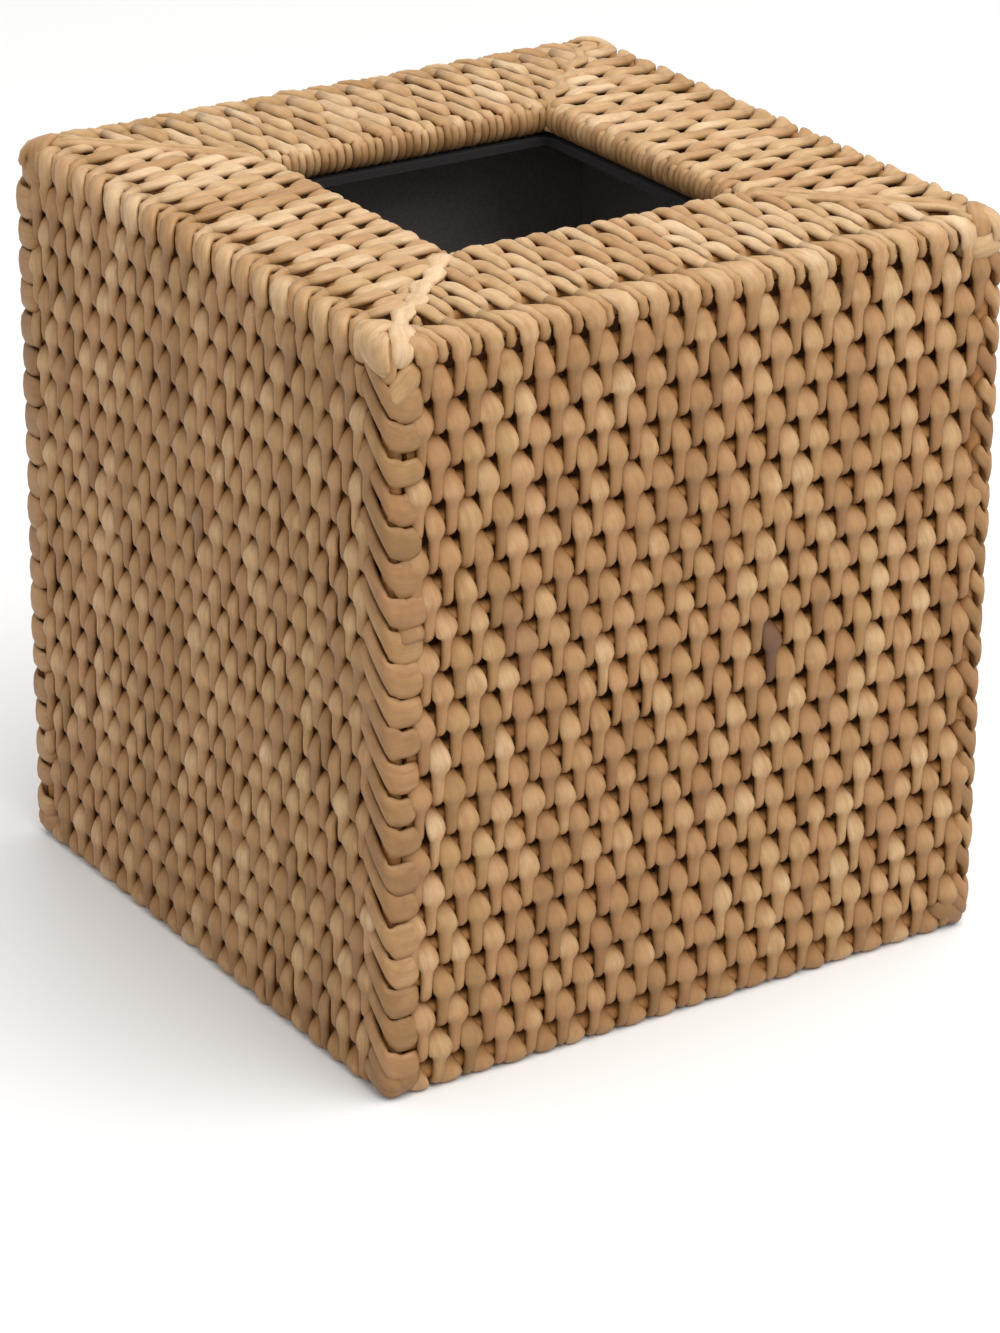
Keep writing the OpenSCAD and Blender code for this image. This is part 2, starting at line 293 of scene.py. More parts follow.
def row_marks(side_gaps):
    """Rows and their lengths along the way, from the heights of the gaps between the side's rows."""
    side_gaps = np.array(side_gaps)
    rods = (side_gaps[1:] + side_gaps[:-1]) / 2
    under_rim = [(-6, (RIM - 5, TALL - WALL))]
    over_rim = [(row, arc_point((RIM, EDGE), degrees))
                for row, degrees in [(-5.5, -90), (-5, -45), (-4.5, 5), (-4, 58)]]
    across = [(-3.5 + 0.5 * step, (RIM - 3.6 - step * HALF_ROW, TALL)) for step in range(7)]
    top_edge = [
        (0, arc_point((RAIL, EDGE), 135)),
        (0.3, (0, side_gaps[0] + 1.2)),
        (0.5, (0, side_gaps[0])),
    ]
    side = [(number, (0, height)) for number, height in zip(range(1, SIDE_ROWS), rods)]
    side += [(number + 0.5, (0, height)) for number, height in zip(range(1, SIDE_ROWS), side_gaps[1:])]
    foot = [(row, arc_point((RAIL, FOOT), degrees)) for row, degrees in [(22, 212), (22.5, 268), (23, 345)]]
    marks = sorted(under_rim + over_rim + across + top_edge + side + foot)
    return np.array([row for row, place in marks]), np.array([length_at(place) for row, place in marks])


def uneven_gaps(dice):
    """Heights of the gaps between the rows of a side, about 6.6 mm apart."""
    shift = np.concatenate([[0], dice.normal(0, 0.22, SIDE_ROWS - 2), [0]])
    return np.linspace(145.3, 6.2, SIDE_ROWS) + shift


SIDE_GAPS = {side: uneven_gaps(np.random.default_rng(side)) for side in (1, 2)}
SIDE_GAPS[0] = [
    145.3, 138.5, 131.9, 125.3, 118.5, 111.9, 104.9, 98.2, 91.8, 85.4, 79.2,
    72.6, 65.5, 58.9, 52.3, 46.1, 39.1, 32.9, 26.0, 19.3, 12.9, 6.2,
]
SIDE_GAPS[3] = [
    145.2, 138.6, 132.2, 125.2, 118.4, 111.5, 105.1, 98.3, 92.2, 85.7, 79.5,
    73.6, 66.9, 59.7, 53.1, 46.9, 39.5, 33.7, 26.7, 20.2, 14.0, 6.8,
]
rows, lengths = row_marks(SIDE_GAPS[0])
print("rows along the way of the front:", dict(zip(rows[::6].tolist(), lengths[::6].round(1).tolist())))

# %% [markdown]
# ## One stitch
#
# Between the gap where it comes out and the gap where it goes in again, a strand passes two rods. Coming
# up from deep in the gap, a little left of its column, it widens into a rounded head over the first
# rod. Over the second it is a narrow round rope, a little less proud than the head. Neighbouring strands
# are one row out of step, which makes the checkerboard of heads and gaps. The tables below give, for
# steps along the stitch, how deep the middle of the strand lies and how wide and thick it is, on the
# side and on the top.

# %% The tables of one stitch
# Where the rings of a stitch lie, in rows from the gap where it comes out.
stitch_step = np.array([
    0, 0.05, 0.1, 0.16, 0.24, 0.33, 0.43, 0.54, 0.65, 0.76, 0.87, 1, 1.2, 1.42, 1.62, 1.76, 1.86, 1.94,
])
# Depth, width and thickness at each of these rings, in mm.
side_stitch = np.array([
    (4.50, 2.4, 1.3), (3.90, 2.8, 1.4), (3.25, 3.2, 1.5), (2.65, 3.6, 1.6), (2.10, 4.0, 1.7),
    (1.70, 4.4, 1.8), (1.38, 4.7, 1.9), (1.12, 4.9, 2.1), (0.96, 5.0, 2.1), (0.90, 4.9, 2.1),
    (0.94, 4.1, 2.0), (1.18, 2.9, 1.9), (1.28, 2.5, 2.0), (1.26, 2.4, 2.1), (1.26, 2.4, 2.0),
    (1.38, 2.4, 1.9), (1.80, 2.4, 1.7), (2.80, 2.3, 1.5),
])
top_stitch = np.array([
    (2.90, 1.90, 1.4), (2.30, 2.10, 1.5), (1.90, 2.40, 1.6), (1.60, 2.70, 1.7), (1.35, 3.10, 1.8),
    (1.15, 3.50, 1.9), (1.05, 3.70, 1.9), (1.00, 3.70, 1.9), (1.00, 3.55, 1.9), (1.05, 3.35, 1.9),
    (1.10, 3.20, 1.9), (1.15, 3.10, 1.9), (1.20, 3.00, 1.9), (1.20, 2.95, 1.9), (1.25, 2.90, 1.8),
    (1.45, 2.70, 1.6), (1.80, 2.40, 1.5), (2.30, 2.10, 1.4),
])
STEPS = len(stitch_step)
# A strand begins inside the opening and ends under the bottom edge, at these rows.
FIRST_ROW, LAST_ROW = -5.6, 22.8
# 1 on the head of a stitch and 0 on its rope.
HEAD = np.interp(stitch_step, [0.0, 0.3, 0.7, 0.9, 2.0], [0.6, 1.0, 1.0, 0.0, 0.0])
# How far the strand swings to the right of its column along a stitch.
SWING = np.interp(stitch_step, [0.0, 0.35, 0.75, 1.3, 1.7, 2.0], [-0.9, -0.7, 0.0, 0.0, 0.1, 0.2])
head_wide, rope_wide = side_stitch[:, 1].max(), side_stitch[12, 1]
print(f"{STEPS} rings a stitch, heads {head_wide:.1f} mm wide, ropes {rope_wide:.1f} mm")


def first_head(parity):
    """Row of a strand's first head, which lies before its first row."""
    whole = int(np.floor(FIRST_ROW))
    return whole + (whole + parity) % 2 - 2


def stitch_rows(parity):
    """Row numbers of the rings of a strand, and the number of each ring's stitch and step.

    A strand of even parity has its heads on even rows. A head sits half a row after the gap where its
    stitch comes out, so a stitch begins at head row - 0.5.
    """
    heads = np.arange(first_head(parity), LAST_ROW + 3, 2)
    row = (heads[:, None] - 0.5 + stitch_step).ravel()
    stitch = np.repeat(np.arange(len(heads)), STEPS)
    step = np.tile(np.arange(STEPS), len(heads))
    inside = (row >= FIRST_ROW) & (row <= LAST_ROW)
    return row[inside], stitch[inside], step[inside]


# %% [markdown]
# ## The woven sides and borders
#
# The strands of one side share a section, and differ in where they stand along the side. On the top they
# stand almost 4 mm further to the left than on the side, and cross over on the top edge. Nothing is
# perfectly even in a hand-woven piece, so each strand leans a little, each head is a bit wider or
# flatter than the next, and each row rises and falls along the side.

# %% Weave one strand
# How far the strands stand to the left on the top.
TOP_SHIFT = 3.9
# Depth, width and thickness of the even wraps inside the opening.
WRAP_DEEP, WRAP_WIDE, WRAP_THICK = 0.8, 1.75, 1.35
# Rings, depth, width and thickness of a run behind the rods, and the length that its grain is laid on.
RUN_RINGS, RUN_DEEP, RUN_WIDE, RUN_THICK, RUN_LONG = 12, 5.0, 3.5, 1.5, 140
# How far the strands of a side lean to the left on their way down, as a share of the height.
LEAN = {0: 0.055, 1: 0.07, 2: 0.07, 3: 0.077}


def lift(x, row, wave):
    """Rise and fall of the rows along the side, in rows, none at the top and bottom edges."""
    middle = np.clip(np.minimum(row - 0.5, SIDE_ROWS - row) / 3, 0, 1)
    long_wave, short_wave = np.sin(x / 19 + wave[0] + row / 5), np.sin(x / 7 + wave[1] - row / 3)
    return middle * (0.05 * long_wave + 0.03 * short_wave)


def woven_strand(x, parity, marks, dice, half, slope, wave, stains):
    """One strand that stands at x along its side.

    Gives its rings and values, and for each ring its row, its place along the side and its distance to
    the seam of the corner. Its middle at row r is way(r) - out(r) * deep(r). Across and out are square to
    its own slope, so that the tube keeps its thickness where it ducks in and out. The side's table of
    the stitch takes over from the border's between rows -0.7 and 0, and on the top edge the strand is
    narrower. It lies less deep just below that edge, around row 0.68, sinks beside the seam of the
    corner, and inside the opening it is an even, narrow wrap.
    """
    row, stitch, step = stitch_rows(parity)
    count = stitch.max() + 1
    below = np.clip((row + 0.7) / 0.7, 0, 1)[:, None]
    deep, wide, thick = (side_stitch[step] * below + top_stitch[step] * (1 - below)).T
    head = HEAD[step]
    edge = np.clip(1 - np.abs(row) / 0.6, 0, 1)
    uneven_heads, uneven_ropes = dice.normal(1.0, 0.08, count), dice.normal(1.0, 0.06, count)
    uneven = head * uneven_heads[stitch] + (1 - head) * uneven_ropes[stitch]
    wide = wide * (1 - edge * (0.15 + 0.05 * head)) * uneven
    deep = deep + edge * 0.4 * (1 - head) + head * dice.normal(0.0, 0.08, count)[stitch]
    deep = deep * (1 - 0.4 * np.clip(1 - np.abs(row - 0.68) / 0.3, 0, 1))
    inner = ease(-row, 4.05, 4.3)
    deep = deep * (1 - inner) + WRAP_DEEP * inner
    wide = wide * (1 - inner) + WRAP_WIDE * inner
    thick = thick * (1 - inner) + WRAP_THICK * inner
    lifted = row + lift(x, row, wave) + 0.03 * head * dice.normal(0, 1, count)[stitch]
    length = np.interp(lifted, marks[0], marks[1])
    section = np.stack([np.interp(length, way_length, way[:, i]) for i in (0, 1)], axis=-1)
    out = unit(np.stack([np.interp(length, way_length, way_out[:, i]) for i in (0, 1)], axis=-1))
    sway = np.interp(row, np.linspace(row[0], row[-1], count + 1), dice.normal(0.0, 0.14, count + 1))
    along = x + (sway + SWING[step]) * (1 - inner) - TOP_SHIFT * ease(-row, -0.25, 0.35)
    along = along - slope * (EDGE - section[:, 1]) * (row > 0)
    to_seam = half - np.abs(along) - section[:, 0]
    deep = deep + (row < 0.2) * 1.3 * np.clip(1 - to_seam / 3.5, 0, 2) ** 2
    section = section - out * deep[:, None]
    path = np.stack([along, section[:, 0], section[:, 1]], axis=-1)
    ahead = unit(np.gradient(path, axis=0))
    outward = np.stack([np.zeros(len(row)), out[:, 0], out[:, 1]], axis=-1)
    outward = unit(outward - ahead * (outward * ahead).sum(axis=1, keepdims=True))
    lean = dice.normal(0.0, 0.10, count)[stitch][:, None]
    across = unit(np.cross(outward, ahead) + outward * lean)
    rings = strand(path, across, outward, wide, thick)
    rings[..., 2] = np.maximum(rings[..., 2], 0.02)
    head_rows = first_head(parity) + 2 * np.arange(count)
    stain = np.array([stains.get(head_row, 0.0) for head_row in head_rows.tolist()])
    # Painted light and partly real fading: the strand is paler on the top border, much less pale inside the
    # opening where it lies in shade, and paler on its heads than on its ropes.
    faded_and_lit = ease(-row, -0.7, 0.2) * (1 - 0.75 * inner)
    faded_and_lit = faded_and_lit + 0.45 * head * (1 - faded_and_lit) * (row > -0.5)
    values = values_of(wide, thick, length, deep, dice, faded_and_lit, stitch, stain[stitch])
    return rings, values, row, along, to_seam


def cut(rings, values, keep):
    """Some of the rings of a strand and their values."""
    return rings[keep], {key: value[keep] for key, value in values.items()}


def on_side(points, side):
    """Points of a side's own frame (along, inward, height) put in the cover's frame."""
    half = (DEEP if side % 2 == 0 else WIDE) / 2
    x, y, z = points[..., 0], points[..., 1] - half, points[..., 2]
    placed = [(x, y), (-y, x), (-x, -y), (y, -x)][side]
    return np.stack([placed[0], placed[1], z], axis=-1)


def inner_run(x, begin, end, dice):
    """The flat run of a strand behind the rods, between two places in the section."""
    share = np.linspace(0, 1, RUN_RINGS)[:, None]
    section = np.array(begin) * (1 - share) + np.array(end) * share
    path = np.column_stack([x + dice.normal(0, 0.25, RUN_RINGS), section])
    across = np.tile([1.0, 0.0, 0.0], (RUN_RINGS, 1))
    out = np.tile(unit(np.array([0.0, begin[1] - end[1], end[0] - begin[0]])), (RUN_RINGS, 1))
    wide, thick = np.full(RUN_RINGS, RUN_WIDE), np.full(RUN_RINGS, RUN_THICK)
    values = values_of(wide, thick, share[:, 0] * RUN_LONG, np.full(RUN_RINGS, RUN_DEEP), dice)
    return strand(path, across, out, wide, thick), values


print(f"a side is {WIDE:.1f} mm long, its strands stand between the corner bindings")

# %% [markdown]
# Each strand is made in one run and then cut on the top edge, because the frame counts the side and the
# border as two pieces. The part on the top stops at the diagonal seam of the corner. More strands fill
# the corner of the border beyond the last one of the side.

# %% Weave the four sides and their borders
# A side's columns: the first column's middle, the step between columns, and their number.
COLUMNS = {0: (-60.2, 3.557, 36), 1: (-62.6, 3.55, 35), 2: (-61.4, 3.55, 35), 3: (-63.7, 3.46, 36)}
# How near to its two corners a strand of the side shows before it runs under the wraps.
MARGINS = {0: (6.5, 5.2), 1: (6.5, 7.5), 2: (6.5, 7.5), 3: (6.5, 7.5)}
# Stitches of a darker strand: side, column and the row of the head.
STAINS = {(0, 23, 11): 0.9, (0, 6, 8): 0.3, (0, 7, 9): 0.25, (3, 20, 8): 0.4}
# The row where a strand is cut in two, and how far from the wall's inner face its flat run lies.
SPLIT_ROW = -0.3
INNER_DEEP = 0.85
# How far from the corner a strand's ends stay: a border's strand, and the upper end of a side's strand.
BORDER_CLEAR, SIDE_CLEAR = 1.9, 5
rattan, rattan_foot = (bpy.data.materials.new(name) for name in ("rattan_peel", "rattan_foot"))
borders = {}
for side, name in enumerate(SIDES):
    dice = np.random.default_rng(100 + side)
    marks = row_marks(SIDE_GAPS[side])
    half = (WIDE if side % 2 == 0 else DEEP) / 2
    first, step, count = COLUMNS[side]
    places = first + step * np.arange(count) + dice.normal(0, 0.10, count)
    more = np.arange(places[-1] + step, half + max(TOP_SHIFT, LEAN[side] * TALL) - 4.5, step)
    wave = dice.uniform(0, 2 * np.pi, 3)
    side_pairs, border_pairs = [], []
    for number, x in enumerate(np.concatenate([places, more])):
        stains = {place[2]: amount for place, amount in STAINS.items() if place[:2] == (side, number)}
        rings, values, row, along, to_seam = woven_strand(
            x, number, marks, dice, half, LEAN[side], wave, stains)
        rings = on_side(rings, side)
        split = np.argmin(np.abs(row - SPLIT_ROW))
        # The part on the top starts after the seam, clear of the corner.
        past_seam = (to_seam <= -1.0) & (row < 0)
        past_corner = (np.abs(along) > half - BORDER_CLEAR) & (row < 0.7)
        beyond = np.flatnonzero(past_seam | past_corner)
        start = beyond[-1] + 1 if len(beyond) else 0
        # The part on the side ends where it runs under the wraps of a corner.
        left_margin, right_margin = MARGINS[side]
        shown = np.flatnonzero((row > 0.4) & (along > left_margin - half) & (along < half - right_margin))
        stop = split + 1 if number < count else np.argmin(np.abs(row - 0.6))
        if len(shown) > 4:
            clear = np.flatnonzero(np.abs(along[split:]) < half - SIDE_CLEAR)
            top_end = split + clear[0] if number < count else shown[0]
            side_pairs.append(cut(rings, values, slice(top_end, shown[-1] + 1)))
        if number < count:
            run, value = inner_run(x, (WALL - INNER_DEEP, FOOT), (WALL - INNER_DEEP, TALL - WALL), dice)
            side_pairs.append((on_side(run, side), value))
        if stop - start > 3 and to_seam[stop - 1] > 0:
            border_pairs.append(cut(rings, values, slice(start, stop)))
        seam = min(RIM, half - abs(x - TOP_SHIFT) - 1)
        under = TALL - WALL + INNER_DEEP
        if seam > 12:
            run, value = inner_run(x - TOP_SHIFT, (seam, under), (WALL, under), dice)
            border_pairs.append((on_side(run, side), value))
    borders[side] = (border_pairs, places - TOP_SHIFT)
    strands_to_piece(f"side_weave_{name}", side_pairs, f"side_strands_{name}", rattan)
print("strands a border:", [len(borders[side][0]) for side in range(4)])

# %% [markdown]
# ## Ribbons that don't follow the weave
#
# The corners, the knobs on them, the seams of the top and the rim of the opening are wrapped with
# single strands. Their bends are too uneven for a formula, so most are given by a few control rows and
# a smooth curve through them, which is easy to correct against the photograph.


# %% A smooth curve and a ribbon along it
def smooth(rows, count):
    """Points of a Catmull-Rom curve through the given rows, count of them, evenly spread by row number."""
    rows = np.asarray(rows, float)
    padded = np.vstack([2 * rows[0] - rows[1], rows, 2 * rows[-1] - rows[-2]])
    place = np.linspace(0, len(rows) - 1, count)
    before = np.minimum(place.astype(int), len(rows) - 2)
    share = (place - before)[:, None]
    a, b, c, d = (padded[before + i] for i in range(4))
    return b + 0.5 * share * (c - a + share * (2 * a - 5 * b + 4 * c - d + share * (3 * (b - c) + d - a)))


def ribbon(path, out, wide, thick, deep, dice, faded_and_lit, upright=0.0):
    """Rings and values of a strand along any path; out is turned square to the path first.

    Where upright is 1 the width is measured straight up instead of square to the path.
    """
    ahead = unit(np.gradient(path, axis=0))
    out = unit(out - ahead * (out * ahead).sum(axis=1, keepdims=True))
    across = unit(np.cross(out, ahead) * (1 - upright) + np.array([0, 0, 1.0]) * upright)
    rings = strand(path, across, out, wide, thick)
    run = np.concatenate([[0], np.cumsum(np.linalg.norm(np.diff(path, axis=0), axis=1))])
    return rings, values_of(wide, thick, run, deep, dice, faded_and_lit)


def to_corner(points, corner):
    """Points made for the front right corner, turned about the upright axis to another corner."""
    angle = np.pi / 2 * corner
    cosine, sine = np.cos(angle), np.sin(angle)
    x, y, z = points[..., 0], points[..., 1], points[..., 2]
    return np.stack([x * cosine - y * sine, x * sine + y * cosine, z], axis=-1)


print("a smooth curve through 3 rows:", smooth([(0, 0), (1, 1), (2, 0)], 5).round(2).tolist())

# %% [markdown]
# ## Rim of the opening
#
# Between two strands of the border one more wrap comes out from under them on the crest of the rim, so
# that the wraps inside the opening lie twice as close as the strands on the top.

# %% Wrap the rim
for side, name in enumerate(SIDES):
    dice = np.random.default_rng(600 + side)
    pairs, places = borders[side]
    half = (WIDE if side % 2 == 0 else DEEP) / 2
    between = (places[1:] + places[:-1]) / 2
    for x in between[np.abs(between) < half - BORDER + 2.5]:
        angle = np.radians(np.linspace(52, -92, 20))
        deep = 0.85 + dice.normal(0, 0.05) + 1.35 * ease(angle, np.radians(40), np.radians(52))
        inward = RIM + (RAIL - deep) * np.cos(angle)
        height = EDGE + (RAIL - deep) * np.sin(angle)
        limit = half - inward - 0.7
        path = np.stack([np.clip(x, -limit, limit), inward, height], axis=-1)
        path = np.vstack([path, path[-1] + np.array([[0, -2.5, 0], [0, -5, 0.6]])])
        out_in, out_up = np.append(np.cos(angle), [0, 0]), np.append(np.sin(angle), [-1, -1])
        out = np.stack([np.zeros(len(path)), out_in, out_up], axis=-1)
        deep = np.append(deep, [WRAP_DEEP, 1.4])
        wide = np.full(len(path), WRAP_WIDE * dice.normal(1, 0.05))
        rings, values = ribbon(path, out, wide, np.full(len(path), WRAP_THICK), deep, dice, 0.2)
        pairs.append((on_side(rings, side), values))
    strands_to_piece(f"border_weave_{name}", pairs, f"top_strands_{name}", rattan)

# %% [markdown]
# ## Corner wraps
#
# Each upright corner is wrapped with one strand a row. It comes out beside the weave of one side,
# slants down to the corner as a rope, turns round it, lies level as a broad leaf on the other side, and
# goes in. `along` is measured round the corner from its sharpest line, negative on the first side. Near
# that line the width is measured straight up, so that a slanting strand doesn't fold over itself where
# it turns.

# %% Wrap the four corners
# Radius of the corner in plan.
ROUND = 2.0
# The wraps of a corner: their number, the height of the lowest, the step up to the next, and how far
# below the top their middles stay.
WRAPS, WRAP_FOOT, WRAP_STEP, WRAP_TOP = 21, 5.4, 6.6, 5.5


def corner_shell(along, height, deep):
    """Points and outward directions at a depth below the rounded corner at the front right."""
    quarter = ROUND * np.pi / 4
    bend = np.clip(along, -quarter, quarter)
    angle = np.pi / 4 + bend / ROUND
    out = np.stack([np.sin(angle), -np.cos(angle), np.zeros(len(along))], axis=-1)
    straight = along - bend
    x = WIDE / 2 - ROUND + (ROUND - deep) * out[:, 0] + np.minimum(straight, 0)
    y = -DEEP / 2 + ROUND + (ROUND - deep) * out[:, 1] + np.maximum(straight, 0)
    return np.stack([x, y, height], axis=-1), out


# Along, height above the lowest point, depth, width and thickness, in mm.
wrap_table = np.array([
    (-9.6, 13.4, 3.4, 2.4, 1.3), (-9.3, 12.9, 2.1, 3.0, 1.6), (-8.5, 11.7, 1.3, 3.3, 1.9),
    (-7.0, 9.5, 1.1, 3.3, 1.9), (-5.0, 6.9, 1.05, 3.6, 1.9), (-3.4, 5.0, 1.1, 4.4, 1.8),
    (-1.7, 3.4, 1.1, 5.4, 1.7), (0.0, 2.3, 1.05, 6.0, 1.7), (1.4, 1.8, 0.95, 6.2, 1.8),
    (2.8, 1.7, 0.85, 6.3, 1.9), (4.0, 1.8, 0.85, 6.3, 2.0), (5.2, 1.9, 1.0, 5.9, 2.0),
    (6.1, 2.0, 1.5, 5.2, 1.8), (6.8, 2.0, 2.4, 4.0, 1.5), (7.2, 2.0, 3.4, 2.6, 1.3),
])
# Share of the table that a corner's ropes reach, and how much wider than in the table its leaves are.
REACH = {0: 0.5, 1: 1.0, 2: 1.0, 3: 1.0}
LEAF = {0: 1.3, 1: 1.0, 2: 1.0, 3: 1.0}
for corner, name in enumerate(CORNERS):
    dice = np.random.default_rng(300 + corner)
    pairs = []
    for number in range(WRAPS):
        table = wrap_table.copy()
        base = WRAP_FOOT + WRAP_STEP * number + dice.normal(0, 0.3)
        table[:7, :2] *= REACH[corner] * (1.0 if number % 2 else 0.86)
        table[9:, :2] *= dice.normal(1.0, 0.06)
        table[8:, 3] *= dice.normal(1.0, 0.12) * LEAF[corner]
        table[:8, 3] *= dice.normal(1.0, 0.08)
        table[2:12, 2] += dice.normal(0, 0.08) + (0.15 if number % 2 else 0.0)
        rows = smooth(table, 34)
        # The wraps of the near corner lie further round to the front, and more so higher up.
        wander = 1.4 + 1.4 * ease(base, 30, 100) if corner == 3 else 0.6
        share = np.clip(np.where(rows[:, 0] < 0, 1 + rows[:, 0] / 8, 1 - rows[:, 0] / 14), 0, 1)
        along = rows[:, 0] + (wander + dice.normal(0, 0.3)) * share
        height = np.minimum(base + rows[:, 1], TALL - WRAP_TOP)
        path, out = corner_shell(along, height, rows[:, 2])
        upright = np.exp(-(along[:, None] / 4) ** 2)
        rings, values = ribbon(path, out, rows[:, 3], rows[:, 4], rows[:, 2], dice, 0.06, upright)
        # No point lies outside the cover's two outer planes.
        rings[..., 0] = np.minimum(rings[..., 0], WIDE / 2)
        rings[..., 1] = np.maximum(rings[..., 1], -DEEP / 2)
        rings[..., 2] = np.clip(rings[..., 2], 0.3, TALL - 4)
        pairs.append((to_corner(rings, corner), values))
    strands_to_piece(f"corner_wraps_{name}", pairs, f"corner_binding_{name}", rattan)

# %% [markdown]
# ## Knobs on the corners
#
# On each upper corner broad, smooth ribbons are folded over the post. On the corner nearest to the
# camera one pale ribbon splits into two lobes, with a tongue folded into the valley between them and a
# rounded leaf below. The others have one ribbon level round the corner, one over it from side to side
# and one down its edge. The lower corners carry a darker ribbon round the foot. Cloth simulation could
# fold a ribbon too, but not into a given shape, so each is laid one by one. In these tables a point is
# given by its distances from the two outer planes and by its distance below the top, or above the table
# for the foot.

# %% Fold the knobs
FOLD_RINGS = 30
# Distances from the two planes, distance below the top, outward direction (right, front, up), width and
# thickness.
level_fold = [
    (10.2, 3.6, 7.5, 0, 1, 0.1, 2.6, 1.4), (8.6, 1.6, 7.2, 0, 1, 0.1, 4.2, 1.7),
    (6.2, 1.1, 6.7, 0, 1, 0.1, 5.4, 2.0), (3.2, 1.3, 6.4, 0.3, 1, 0.1, 5.8, 2.1),
    (1.9, 1.9, 6.4, 1, 1, 0.1, 5.8, 2.2), (1.3, 3.2, 6.4, 1, 0.3, 0.1, 5.8, 2.1),
    (1.1, 6.0, 7.0, 1, 0, 0.1, 5.2, 2.0), (1.6, 8.2, 7.8, 1, 0, 0.1, 4.0, 1.7),
    (3.6, 9.6, 8.2, 1, 0, 0.1, 2.6, 1.4),
]
over_fold = [
    (6.6, 3.0, 6.4, 0, 1, 0, 3.4, 1.5), (6.2, 1.3, 4.4, 0, 1, 0.2, 4.6, 1.8),
    (5.6, 1.9, 2.0, -0.1, 1, 1, 5.4, 2.0), (4.8, 3.6, 1.2, 0.3, 0.3, 1, 5.8, 2.1),
    (3.6, 4.8, 1.2, 0.3, 0.3, 1, 5.8, 2.1), (1.9, 5.8, 2.0, 1, -0.1, 1, 5.4, 2.0),
    (1.3, 6.4, 4.4, 1, 0, 0.2, 4.6, 1.8), (3.0, 6.8, 6.4, 1, 0, 0, 3.4, 1.5),
]
cap_fold = [
    (8.2, 8.2, 2.4, -0.2, -0.2, 1, 3.0, 1.5), (5.6, 5.6, 1.1, 0, 0, 1, 4.4, 1.9),
    (3.3, 3.3, 1.6, 0.4, 0.4, 1, 5.6, 2.1), (2.0, 2.0, 3.4, 1, 1, 0.7, 6.2, 2.2),
    (1.9, 1.9, 5.6, 1, 1, 0.1, 5.6, 2.0), (2.8, 2.8, 7.4, 1, 1, 0, 4.0, 1.6),
]
left_lobe = [
    (9.4, 9.0, 2.2, 0, 0, 1, 3.2, 1.5), (9.6, 6.4, 1.1, 0, 0, 1, 4.6, 1.8),
    (9.2, 3.6, 1.1, 0, -0.3, 1, 5.6, 2.0), (8.0, 1.6, 2.3, 0, 1, 0.8, 5.8, 2.0),
    (6.0, 1.0, 3.9, 0, 1, 0.2, 5.2, 2.0), (3.8, 1.0, 5.2, 0.2, 1, 0.1, 4.0, 1.9),
    (2.0, 1.4, 6.3, 0.7, 1, 0, 2.8, 1.8), (1.3, 2.4, 7.4, 1, 0.6, 0, 2.2, 1.5),
]
right_lobe = [
    (8.4, 8.8, 2.0, 0, 0, 1, 3.4, 1.5), (6.4, 7.4, 1.1, 0, 0, 1, 4.6, 1.9),
    (3.8, 6.2, 1.1, 0.3, 0, 1, 5.2, 2.0), (1.7, 5.0, 2.4, 1, 0, 0.8, 5.0, 2.0),
    (1.0, 4.2, 4.2, 1, 0, 0.1, 4.4, 1.9), (1.4, 3.8, 5.8, 1, 0, -0.2, 3.2, 1.5),
]
tongue = [
    (6.2, 5.6, 2.6, 0, 0, 1, 2.6, 1.4), (4.2, 3.9, 2.0, 0.2, 0.2, 1, 3.4, 1.7),
    (2.7, 2.6, 2.9, 1, 1, 1, 3.6, 1.8), (1.9, 2.0, 4.6, 1, 1, 0.2, 3.4, 1.8),
    (1.6, 1.8, 6.8, 1, 1, 0, 3.0, 1.7), (1.9, 2.0, 8.6, 1, 1, 0, 2.4, 1.4),
]
low_leaf = [
    (1.9, 1.0, 12.6, 1, 0.8, 0, 2.0, 1.5), (1.1, 2.4, 11.4, 1, 0.3, 0, 3.6, 1.8),
    (0.95, 3.9, 9.9, 1, 0, 0, 5.2, 2.0), (0.95, 5.4, 8.4, 1, 0, 0, 5.6, 2.0),
    (1.3, 6.7, 7.2, 1, 0, 0, 4.6, 1.8), (2.4, 7.5, 6.4, 1, 0, 0, 3.0, 1.5),
]
foot_fold = [
    (9.8, 3.4, 5.6, 0, 1, 0, 2.6, 1.3), (8.4, 1.5, 5.2, 0, 1, 0, 3.6, 1.6),
    (6.0, 1.1, 4.4, 0, 1, 0, 4.4, 1.9), (3.4, 1.4, 3.4, 0.3, 1, -0.1, 4.8, 2.0),
    (2.0, 2.0, 2.9, 1, 1, -0.1, 4.8, 2.0), (1.4, 3.4, 3.2, 1, 0.3, -0.1, 4.8, 2.0),
    (1.1, 5.6, 4.0, 1, 0, 0, 4.6, 1.9), (1.5, 7.4, 4.6, 1, 0, 0, 3.6, 1.6),
    (3.4, 8.6, 5.0, 1, 0, 0, 2.6, 1.3),
]
foot_twist = [
    (7.6, 3.0, 9.6, 0, 1, 0, 2.4, 1.3), (6.2, 1.2, 8.6, 0, 1, 0, 3.2, 1.7),
    (3.8, 1.0, 6.6, 0.2, 1, 0, 3.4, 1.8), (1.8, 1.3, 4.6, 1, 1, 0, 3.0, 1.8),
    (1.0, 2.6, 3.4, 1, 0.2, 0, 3.0, 1.8), (1.4, 4.2, 2.6, 1, 0, -0.2, 2.6, 1.4),
]


